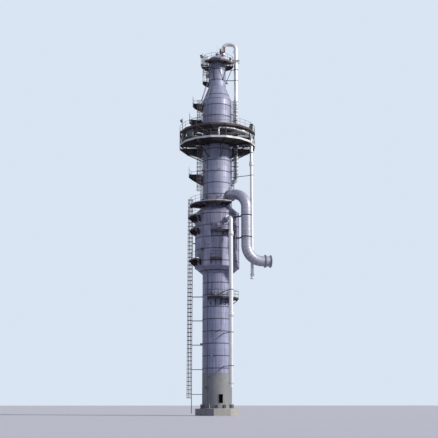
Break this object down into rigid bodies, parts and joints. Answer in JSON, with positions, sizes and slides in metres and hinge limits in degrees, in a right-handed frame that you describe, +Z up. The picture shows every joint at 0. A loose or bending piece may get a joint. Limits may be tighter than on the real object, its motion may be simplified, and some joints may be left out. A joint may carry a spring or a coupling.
{
  "type": "distillation column, 1:2 scale model",
  "caption": "Stepped distillation column with a wide flash section, domed top, double ring platform, caged ladders, landings and clad pipes on an octagonal pedestal.",
  "frame": {"origin": "centre of the pedestal's underside, at ground level", "axes": "+Z up along the column, -Y to the front as the picture shows it, +X to the picture's right"},
  "size_m": [6.6051, 5.9986, 29.25],
  "materials": {
    "concrete": "cast concrete, matt and stained",
    "skirt_steel": "weathered grey paint",
    "cladding": "weathered sheet jacketing",
    "platform_steel": "dark, with rust at the edges",
    "handrail_steel": "pale galvanised grey",
    "ladder_steel": "dull galvanised grey",
    "pipe_cladding": "clean pale jacketing",
    "vapour_cladding": "weathered sheet jacketing",
    "guide_steel": "dark paint",
    "valve_paint": "dull red-brown paint"
  },
  "bodies": {
    "root": {"pedestal": "concrete", "skirt": "skirt_steel", "anchor_chairs": "skirt_steel", "bottom_head": "skirt_steel", "lower_shell": "cladding", "lower_cone": "cladding", "wide_shell": "cladding", "upper_cone": "cladding", "middle_shell": "cladding", "transition_cone": "cladding", "top_shell": "cladding", "top_head": "cladding", "relief_valve": "valve_paint", "top_deck": "platform_steel", "top_rail": "handrail_steel", "davit": "handrail_steel", "upper_ring_deck": "platform_steel", "upper_ring_rail": "handrail_steel", "ring_posts": "platform_steel", "lower_ring_deck": "platform_steel", "lower_ring_rail": "handrail_steel", "ring_brackets": "platform_steel", "middle_deck": "platform_steel", "middle_rail": "handrail_steel", "left_platform_1": "platform_steel", "left_platform_2": "platform_steel", "left_platform_3": "platform_steel", "left_platform_4": "platform_steel", "left_platform_5": "platform_steel", "left_platform_6": "platform_steel", "left_platform_7": "platform_steel", "front_platform_1": "platform_steel", "front_platform_2": "platform_steel", "front_platform_3": "platform_steel", "lower_ladder": "ladder_steel", "middle_ladder": "ladder_steel", "upper_ladder": "ladder_steel", "front_ladder": "ladder_steel", "overhead_line": "pipe_cladding", "side_riser": "pipe_cladding", "front_riser": "pipe_cladding", "vapour_pipe": "vapour_cladding", "vapour_spool": "vapour_cladding", "pipe_guides": "guide_steel", "manways": "cladding"}
  },
  "joints": []
}
